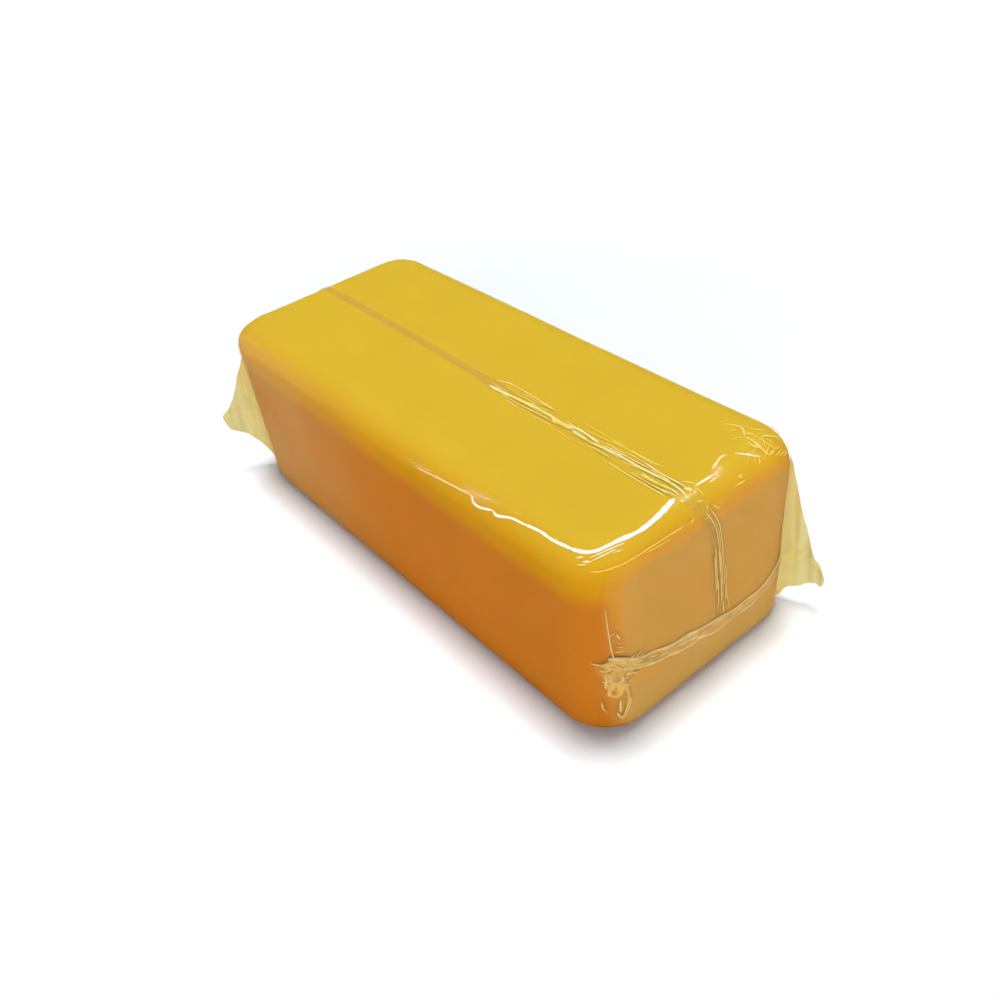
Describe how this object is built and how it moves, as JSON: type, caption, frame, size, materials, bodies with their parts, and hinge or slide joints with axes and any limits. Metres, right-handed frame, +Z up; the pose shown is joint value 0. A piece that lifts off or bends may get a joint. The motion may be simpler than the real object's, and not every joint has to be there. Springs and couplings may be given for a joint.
{
  "type": "detailing clay bar",
  "caption": "Rounded yellow bar of detailing clay sealed in clear shrink film, with a lengthwise back seam, crosswise end welds and film ears at its corners.",
  "frame": {"origin": "centre of the flat lower face that the bar rests on, where the bar's two middle planes meet it", "axes": "+X along the bar to the near end with the folded film corner, +Y across it to the right side, +Z up through the back seam"},
  "size_m": [0.1041, 0.047, 0.0318],
  "materials": {
    "clay": "pressed polymer clay, dense and waxy, golden yellow",
    "film": "clear shrink film, blown and stretched, glossy, drawn tight",
    "film_weld": "several layers of shrink film welded by heat, pleated and milky",
    "film_corner": "two layers of shrink film, crumpled and slightly yellowed"
  },
  "bodies": {
    "root": {"clay_block": "clay", "film_sleeve": "film", "near_upper_panel": "film", "near_lower_panel": "film", "far_upper_panel": "film", "far_lower_panel": "film", "back_seam": "film_weld", "near_end_seal": "film_weld", "far_end_seal": "film_weld", "near_left_ear": "film_corner", "near_right_ear": "film_corner", "far_left_ear": "film_corner", "far_right_ear": "film_corner"}
  },
  "joints": []
}
